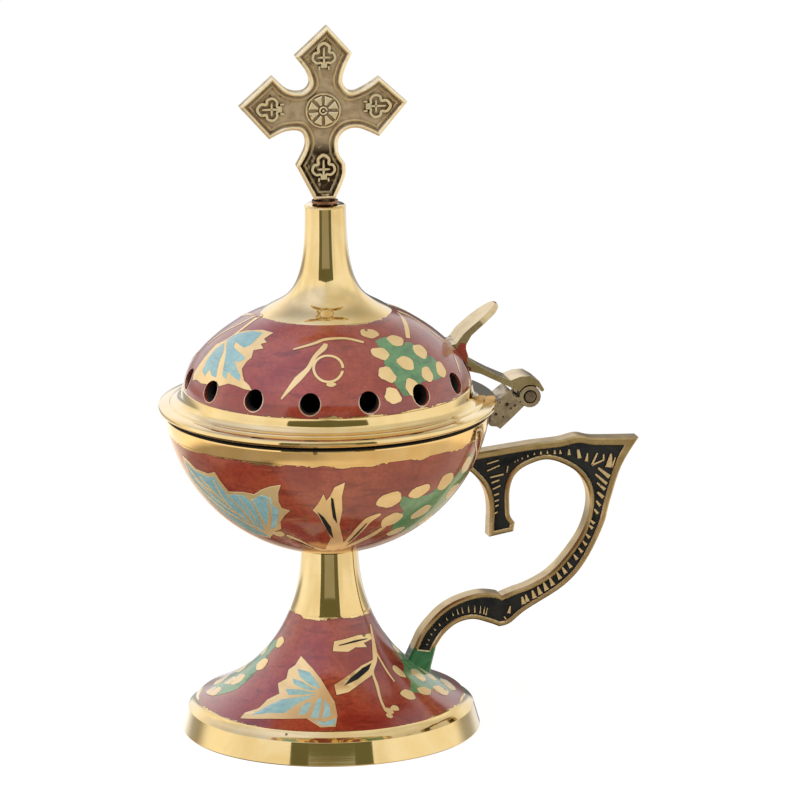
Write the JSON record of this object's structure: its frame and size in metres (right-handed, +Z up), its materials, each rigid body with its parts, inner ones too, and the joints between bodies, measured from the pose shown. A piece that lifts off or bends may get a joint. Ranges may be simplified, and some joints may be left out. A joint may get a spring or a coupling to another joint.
{
  "type": "hand censer",
  "caption": "Brass hand censer: round bowl on a trumpet foot, hinged pierced lid with spire and cross, thumb lever, cast finger handle, enamelled vine ornament.",
  "frame": {"origin": "on the surface that the foot stands on, under the middle of the object's outline", "axes": "+Z up along the foot's and the lid's axis, which stands at X = -18.4 mm; +X towards the handle and the hinge; the flat handle and the hinge lie in the XZ plane"},
  "size_m": [0.1192, 0.0824, 0.1747],
  "materials": {
    "polished_brass": "turned and polished, mirror-like",
    "aged_brass": "cast, brushed and darkened in the hollows",
    "enamel": "glossy red-brown enamel with light blue and green fields between brass lines",
    "black_enamel": "black enamel in the sunk channel",
    "steel": "plain machined"
  },
  "bodies": {
    "vessel": {"foot": "polished_brass", "foot_enamel": "enamel", "bowl": "polished_brass", "bowl_enamel": "enamel", "stem_bolt": "steel", "bowl_washer": "steel", "foot_washer": "steel", "stem_nut": "steel", "bowl_hinge_bracket": "aged_brass", "hinge_pin": "aged_brass", "handle": "aged_brass", "handle_inlay_front": "black_enamel", "handle_inlay_back": "black_enamel"},
    "lid": {"lid": "polished_brass", "lid_enamel": "enamel", "lid_hinge_strap": "aged_brass", "cross_collar": "aged_brass", "cross": "aged_brass"}
  },
  "joints": [
    {"name": "lid_hinge", "type": "hinge", "parent": "vessel", "child": "lid", "pos_m": [0.03152, 0, 0.08052], "axis": [0, 1, 0], "range_deg": [0, 105]}
  ]
}
